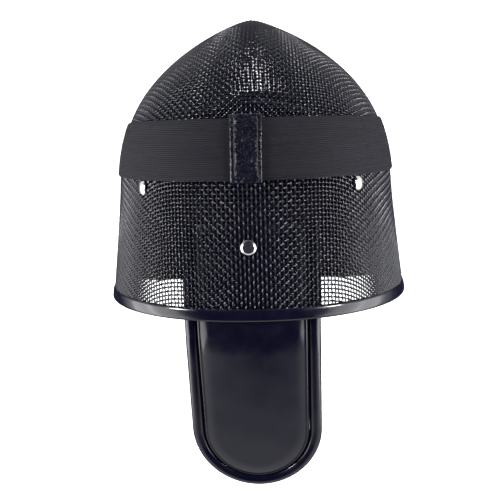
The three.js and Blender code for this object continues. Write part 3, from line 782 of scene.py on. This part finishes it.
# ---------------------------------------------------------------- rivets
# Nickel-plated rivets with flat heads and sloping rims. One on each side holds the crown lining and one
# in the middle of the back holds the tongue, each with a flat washer inside.
RIVET_RADIUS = 0.0053
RIVET_HEAD = 0.0014
RIVET_SEAT = 0.0014
RIVET_BEVEL = 0.0014            # how far in its sloping rim reaches
RIVET_SHANK = 0.002
RIVET_PLAY = 0.0006             # between the washer and the layer that it holds
WASHER_RADIUS = 0.0045
WASHER_WALL = 0.001
LINING_DEPTH = 0.0034           # from the cage's middle surface to the layer under it
LINING_WALL = 0.0045
TONGUE_DEPTH = 0.0036
TONGUE_WALL = 0.008
RIVETS = {
    # name: x, v, depth of the washer
    "left_rivet": (0.077, 0.0293, LINING_DEPTH + LINING_WALL + RIVET_PLAY),
    "right_rivet": (-0.077, 0.0293, LINING_DEPTH + LINING_WALL + RIVET_PLAY),
    "centre_rivet": (0.0, 0.070, TONGUE_DEPTH + TONGUE_WALL + RIVET_PLAY),
}


def turned_on_lathe(profile, at, axis, segments=40):
    """A profile of (radius, height) turned about an axis through a point, its end radii being 0."""
    side = unit(np.cross(axis, [0.3, 1, 0.2]))
    other = np.cross(axis, side)
    turn = np.arange(segments) * 2 * math.pi / segments
    spoke = np.cos(turn)[:, None] * side + np.sin(turn)[:, None] * other
    middle_rings = profile[1:-1]
    rings = at + middle_rings[:, None, :1] * spoke[None] + middle_rings[:, None, 1:] * axis
    poles = at + profile[[0, -1], 1:] * axis
    points = np.concatenate([rings.reshape(-1, 3), poles])
    index = np.arange(len(middle_rings) * segments).reshape(-1, segments)
    after = np.roll(index, -1, axis=1)
    walls = np.stack([index[:-1], after[:-1], after[1:], index[1:]], -1).reshape(-1, 4)
    low, high = len(points) - 2, len(points) - 1
    fans = np.concatenate([np.stack([index[0], np.full(segments, low), after[0]], -1),
                           np.stack([index[-1], after[-1], np.full(segments, high)], -1)])
    return points, [walls, fans]


nickel = finish("nickel_plate", (0.80, 0.79, 0.76), 0.12, metallic=1.0)
nickel_noise, _ = textured(nickel, 320, (0.07, 0.20), 0.04, 0.0002, detail=4)
tinted(nickel, nickel_noise, (0.68, 0.67, 0.64), (0.85, 0.84, 0.81))
for name, (x, v, grip) in RIVETS.items():
    base = crown_points(np.array([x]), np.array([v]))[0]
    axis = unit(slope(base))
    rise = np.linspace(0, 1, 12)
    bevel = (RIVET_HEAD - 0.0004) * (rise + 0.12 * np.sin(math.pi * rise))
    head = np.stack([RIVET_RADIUS - RIVET_BEVEL * rise, RIVET_SEAT + 0.0003 + bevel], -1)
    profile = np.concatenate([
        [[0, -grip - WASHER_WALL], [WASHER_RADIUS - 0.0002, -grip - WASHER_WALL],
         [WASHER_RADIUS, -grip - WASHER_WALL + 0.0002], [WASHER_RADIUS, -grip],
         [RIVET_SHANK, -grip], [RIVET_SHANK, RIVET_SEAT],
         [RIVET_RADIUS - 0.0002, RIVET_SEAT], [RIVET_RADIUS, RIVET_SEAT + 0.00015]],
        head, [[0, RIVET_SEAT + RIVET_HEAD]]])
    rivet_shape = turned_on_lathe(profile, to_world(base), turned(axis))
    rivet = piece(name + "_head", rivet_shape, nickel, sharp=40)
    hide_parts(name)

# ---------------------------------------------------------------- tongue
# A sprung tongue that holds the mask on from behind: a steel strip padded with foam and covered in
# glossy black vinyl, with a rolled border sewn round it. It is bare of any mark.
TONGUE_HALF_WIDTH = 0.0513
TONGUE_ROOT = 0.054
TONGUE_TIP = 0.272
TONGUE_ROUND_END = 0.052
TONGUE_BEND = 0.112
TONGUE_BEND_LENGTH = 0.040
TONGUE_DROOP = 0.36             # its slope past the bend
TONGUE_ARCH = 0.216
TONGUE_TIP_ARCH = 0.4
BINDING_WIDTH = 0.0096
BINDING_GAP = 0.0004
PANEL_SINK = 0.0030             # how far the panel's rim lies under the upper face
PANEL_RISE = 0.0028             # how far its middle swells up from there
PANEL_UNDER = 0.0022            # how far its lower face swells down from the rim
PANEL_SHOULDER = 0.011
BEAD_HEIGHT = 0.0007            # a raised bead inside the panel's rim
BEAD_PLACE = 0.0018
BEAD_WIDTH = 0.0009


def tongue_top(x, v):
    """The tongue's upper face: the crown line less its depth, a droop past the bend and an arch in x.

    The droop is a parabola through the bend and straight past it, and the arch is x squared over its size.
    """
    bent = np.clip((v - TONGUE_BEND) / TONGUE_BEND_LENGTH, 0, 1)
    straight = np.maximum(0, v - TONGUE_BEND - TONGUE_BEND_LENGTH)
    droop = TONGUE_DROOP * (bent**2 * TONGUE_BEND_LENGTH / 2 + straight)
    t = np.clip((v - TONGUE_BEND) / (TONGUE_TIP - TONGUE_BEND), 0, 1)
    arch = 1 + (TONGUE_TIP_ARCH - 1) * t * t * (3 - 2 * t)
    height = crown_line(np.minimum(v, REAR_EDGE)) - TONGUE_DEPTH - droop - arch * x**2 / TONGUE_ARCH
    return np.stack(np.broadcast_arrays(x, v, height), -1)


def tongue_up(x, v):
    """The upward normal of the tongue's upper face, from steps of 1 mm."""
    along = tongue_top(x, v + 0.001) - tongue_top(x, v - 0.001)
    across = tongue_top(x + 0.001, v) - tongue_top(x - 0.001, v)
    return unit(np.cross(across, along))


pad_half = TONGUE_HALF_WIDTH - BINDING_WIDTH - BINDING_GAP
pad_end = TONGUE_ROUND_END - BINDING_WIDTH - BINDING_GAP
tip_start = TONGUE_TIP - TONGUE_ROUND_END
pad_round = pad_end * np.sin(np.radians(np.linspace(2, 88, 40)))
pad_v = np.r_[np.linspace(TONGUE_ROOT, tip_start, 90), tip_start + pad_round]
pad_share = np.sin(np.linspace(-math.pi / 2, math.pi / 2, 61))
past = np.maximum(0, pad_v - tip_start) / pad_end
pad_x = np.multiply.outer(pad_half * np.sqrt(1 - past**2), pad_share)
pad_grid_v = np.broadcast_to(pad_v[:, None], pad_x.shape)
radial = np.hypot(pad_x / pad_half, np.maximum(0, pad_grid_v - tip_start) / pad_end)
from_border = np.minimum((1 - radial) * pad_half, pad_grid_v - TONGUE_ROOT + 0.004)
swell = pillowed(from_border, PANEL_SHOULDER)
unevenness = 0.00008 * ripple(pad_x, pad_grid_v, 3, 9, 0.05) * swell
pad_top = tongue_top(pad_x, pad_grid_v)
pad_up = tongue_up(pad_x, pad_grid_v)
bead = BEAD_HEIGHT * np.exp(-((from_border - BEAD_PLACE) / BEAD_WIDTH) ** 2)
upper = pad_top + pad_up * (-PANEL_SINK + PANEL_RISE * swell + bead + unevenness)[..., None]
lower = pad_top + pad_up * (-TONGUE_WALL + PANEL_UNDER - PANEL_UNDER * swell)[..., None]
tongue_pad = piece("padded_tongue", slab(to_world(upper), to_world(lower)), vinyl, sharp=60)
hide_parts("tongue_pad")

inset = BINDING_WIDTH / 2
round_turn = np.radians(np.linspace(0, 90, 60))
border_half, border_end = TONGUE_HALF_WIDTH - inset, TONGUE_ROUND_END - inset
border_x = np.r_[np.full(70, border_half), border_half * np.cos(round_turn[1:])]
border_v = np.r_[np.linspace(TONGUE_ROOT, tip_start, 70), tip_start + border_end * np.sin(round_turn[1:])]
border_x = np.r_[border_x, -border_x[-2::-1]]
border_v = np.r_[border_v, border_v[-2::-1]]
border_up = tongue_up(border_x, border_v)
border = tongue_top(border_x, border_v) - border_up * TONGUE_WALL / 2
border_shape = tube(to_world(border), turned(border_up), inset + 0.0001, TONGUE_WALL / 2, sides=20)
tongue_border = piece("tongue_border", border_shape, vinyl, sharp=60)
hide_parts("tongue_binding")

# ---------------------------------------------------------------- crown lining
# A pad of foam between two layers of black brushed cloth, riveted inside the crown and forehead. The
# tongue's root lies over its back part, which dips to let it through.
LINING_TONGUE_DEPTH = 0.014     # its depth under the tongue's root
LINING_REAR = 0.095
LINING_REAR_SIDE = 0.108
LINING_FRONT = 0.005
LINING_SIDE_DEPTH = 0.150
LINING_ROWS = 70
LINING_FOREHEAD = 0.33          # where its front edge crosses the dome, as a share of the dome
LINING_SWEEP = 0.5              # power that draws the middle of the front edge forward to a point


def smooth(value, low, high):
    """0 below low, 1 above high, and 3t^2 - 2t^3 between."""
    t = np.clip((value - low) / (high - low), 0, 1)
    return t * t * (3 - 2 * t)


def brushed_cloth(name, color, light, scale):
    """Brushed cloth: a fine nap of noise with a soft sheen."""
    material = finish(name, color, 0.9, sheen=0.03, specular=0.2)
    noise, _ = textured(material, scale, (0.8, 1.0), 0.6, 0.0005, detail=6)
    tinted(material, noise, color, light)
    return material


share = np.linspace(0, 1, LINING_ROWS)
front_v = DOME_START - DOME_REACH * math.sin(LINING_FOREHEAD * math.pi / 2)
top_v = LINING_REAR + (front_v - LINING_REAR) * share
sweep = 1 + (LINING_SWEEP - 1) * share
base_v = LINING_REAR_SIDE + (LINING_FRONT - LINING_REAR_SIDE) * share
lining_rows = both_hands(np.stack([
    bow(np.array([a, crown_line(a)]), np.array([b, -LINING_SIDE_DEPTH]), 61, power)
    for a, b, power in zip(top_v, base_v, sweep)]))
lining_off = unit(slope(lining_rows))
dip = ((1 - smooth(np.abs(lining_rows[..., 0]), TONGUE_HALF_WIDTH + 0.004, TONGUE_HALF_WIDTH + 0.024))
       * smooth(lining_rows[..., 1], TONGUE_ROOT - 0.024, TONGUE_ROOT - 0.004))
depth = LINING_DEPTH + (LINING_TONGUE_DEPTH - LINING_DEPTH) * dip
lining_along, lining_down = grid_run(lining_rows)
border_distance = np.minimum(np.minimum(lining_along, lining_along[:, -1:] - lining_along),
                             np.minimum(lining_down, lining_down[-1:] - lining_down))
thick = LINING_WALL * (0.35 + 0.65 * pillowed(border_distance, 0.006))
centre_depth = depth + LINING_WALL / 2
tuft = 0.0002 * ripple(lining_along, lining_down, 5, 10, 0.03)
lining_shape = slab(to_world(lining_rows - lining_off * (centre_depth - thick / 2)[..., None]),
                    to_world(lining_rows - lining_off * (centre_depth + thick / 2 + tuft)[..., None]))
lining = piece("padded_lining", lining_shape,
               brushed_cloth("lining_cloth_black", (0.0015, 0.0015, 0.004), (0.004, 0.004, 0.008), 900),
               sharp=70)
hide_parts("crown_lining")

# ---------------------------------------------------------------- bib
# A bib of black cloth padded with felt, sewn to the jaw edging, that covers the throat. Its upper edge
# laps over the edging, and its hem is folded and topstitched.
BIB_WALL = 0.005
BIB_STAND_OFF = 0.0064
BIB_OVERLAP = 0.008             # how far it reaches up over the edging
BIB_TURN = 0.004                # how far below the jaw edge it turns towards the hem
BIB_BULGE = 0.006
HEM_HALF_WIDTH = 0.112
HEM_FRONT = -0.1839
HEM_MIDDLE = -0.0679
HEM_REAR = 0.0121
BIB_COLUMNS = 360
HEM_FOLD = 0.014
TOP_SEAM = 0.007                # from its upper edge down to its stitches
SEAM_WIDTH = 0.0012


def hem_line(count):
    """The hem on the table: straight sides and half an ellipse round the front, evenly spaced."""
    turn = np.linspace(math.pi, 2 * math.pi, 1200)
    front_arc = np.stack([HEM_HALF_WIDTH * np.cos(turn),
                          HEM_MIDDLE + (HEM_MIDDLE - HEM_FRONT) * np.sin(turn)], -1)
    ends = np.array([[-HEM_HALF_WIDTH, HEM_REAR], [HEM_HALF_WIDTH, HEM_REAR]])
    return evenly(np.concatenate([ends[:1], front_arc, ends[1:]]), count=count)


def smooth_rows(rows, steps):
    """Rows between given ones, on Catmull-Rom curves through them."""
    padded_rows = np.concatenate([2 * rows[:1] - rows[1:2], rows, 2 * rows[-1:] - rows[-2:-1]])
    made = []
    for k in range(len(rows) - 1):
        a, b, c, d = padded_rows[k:k + 4]
        for t in np.arange(steps[k]) / steps[k]:
            made.append(0.5 * (2 * b + (c - a) * t + (2 * a - 5 * b + 4 * c - d) * t**2
                               + (3 * b - a - 3 * c + d) * t**3))
    return np.stack([*made, rows[-1]])


edge_path = evenly(jaw_path[1:-1], count=BIB_COLUMNS)
edge_in, edge_off = frames_along(edge_path, crown_front)
bib_upper = to_world(edge_path + edge_in * BIB_OVERLAP + edge_off * BIB_STAND_OFF)
bib_lower = to_world(edge_path - edge_in * BIB_TURN + edge_off * BIB_STAND_OFF)
hem = np.c_[hem_line(BIB_COLUMNS), np.zeros(BIB_COLUMNS)]
if (hem[0, 0] < 0) != (bib_lower[0, 0] < 0):
    hem = hem[::-1]
outward = unit((hem - [0, HEM_MIDDLE, 0]) * [1, 1, 0])
rows = [bib_upper, bib_lower]
for down in (0.25, 0.5, 0.75, 1):
    rows.append(bib_lower + (hem - bib_lower) * down + outward * BIB_BULGE * math.sin(math.pi * down))
bib_rows = smooth_rows(np.stack(rows), (5, 8, 8, 8, 10))
bib_off = unit(np.cross(np.gradient(bib_rows, axis=0), np.gradient(bib_rows, axis=1)))
bib_off *= np.sign((bib_off * (bib_rows - [0, HEM_MIDDLE, 0])).sum())
bib_along, bib_down = grid_run(bib_rows)
to_hem = bib_down[-1:] - bib_down
bib_edge = np.minimum(bib_down, np.minimum(bib_along, bib_along[:, -1:] - bib_along))
hem_groove = np.exp(-((to_hem - HEM_FOLD) / SEAM_WIDTH) ** 2)
top_groove = np.exp(-((bib_down - TOP_SEAM) / SEAM_WIDTH) ** 2)
away_from_seams = smooth(to_hem, 0.01, 0.05) * smooth(bib_down, 0.01, 0.04)
folds = 0.0014 * ripple(bib_along, bib_down * 0.3, 11, 8, 0.09) * away_from_seams
round_rim = 0.35 + 0.65 * pillowed(bib_edge, 0.004)
outer_face = BIB_WALL / 2 * round_rim - 0.0009 * (hem_groove + top_groove) + folds
inner_face = -BIB_WALL / 2 * round_rim + 0.0006 * hem_groove
bib_out = bib_rows + bib_off * outer_face[..., None]
bib_in = bib_rows + bib_off * inner_face[..., None]
bib_out[-1, :, 2] = 0
bib_in[-1, :, 2] = 0
bib_cloth = brushed_cloth("bib_cloth_black", (0.0035, 0.0035, 0.008), (0.009, 0.009, 0.015), 700)
bib = piece("padded_bib", slab(bib_out, bib_in), bib_cloth, sharp=60)
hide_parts("bib")
bib_stitches = []
top_row = np.argmin(np.abs(bib_down[:, 0] - TOP_SEAM))
hem_row = np.argmin(np.abs(to_hem[:, BIB_COLUMNS // 2] - HEM_FOLD))
for row in (top_row, hem_row):
    bib_stitches += stitch_row(bib_out[row], bib_off[row], 0.0028, 0.0038, 0.00035)
piece("bib_topstitching", joined(bib_stitches), thread)
